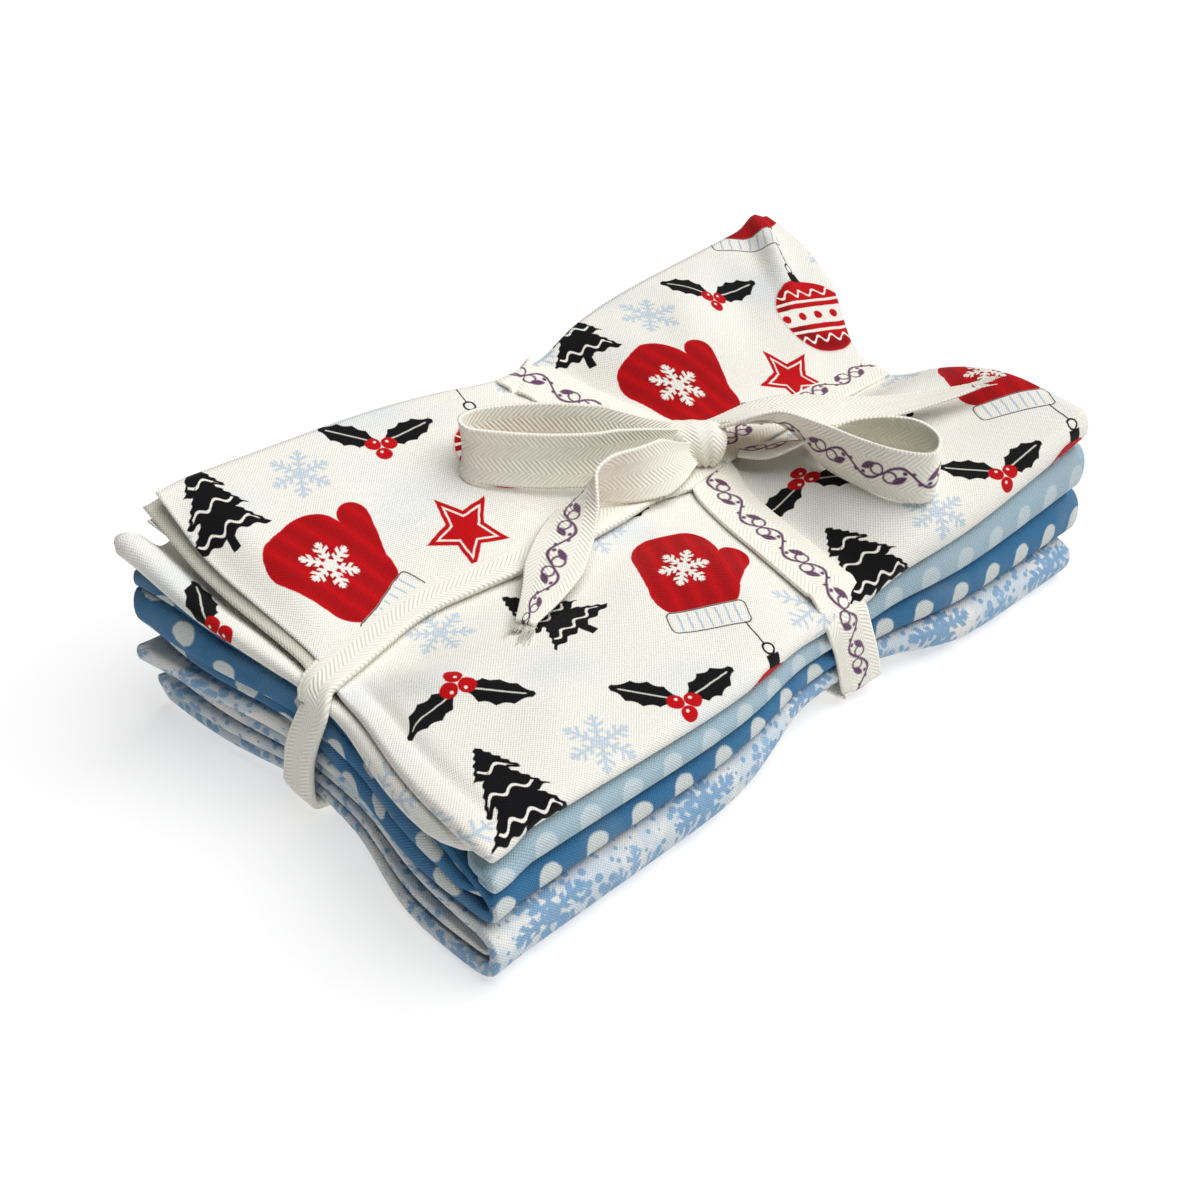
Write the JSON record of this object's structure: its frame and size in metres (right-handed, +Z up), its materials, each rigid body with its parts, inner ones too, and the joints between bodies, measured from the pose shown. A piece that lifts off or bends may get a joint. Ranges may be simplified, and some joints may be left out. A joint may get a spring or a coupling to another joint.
{
  "type": "tied stack of folded quilting cotton",
  "caption": "Folded quilting cottons in winter print, pale blue, dotted blue and snowflake white, stacked and tied both ways with cotton tape in a bow.",
  "frame": {"origin": "middle of the bounding box at the underside, where the bottom cloth rests", "axes": "X runs along the long side, Y across it from the long folds to the open side, Z up through the stack"},
  "size_m": [0.2405, 0.1378, 0.0756],
  "materials": {
    "winter_cotton": null,
    "pale_blue_cotton": "matt plain-weave cotton with near-white dots",
    "mid_blue_cotton": "matt plain-weave cotton with off-white dots",
    "lace_cotton": "matt plain-weave cotton with blue snowflakes and speckle",
    "cotton_tape": null
  },
  "bodies": {
    "root": {"cloth_winter": "winter_cotton", "cloth_pale_blue": "pale_blue_cotton", "cloth_mid_blue": "mid_blue_cotton", "cloth_lace": "lace_cotton", "strap_cross": "cotton_tape", "strap_long": "cotton_tape", "knot": "cotton_tape", "bow_left": "cotton_tape", "bow_right": "cotton_tape", "tail_front": "cotton_tape", "tail_right": "cotton_tape"}
  },
  "joints": []
}
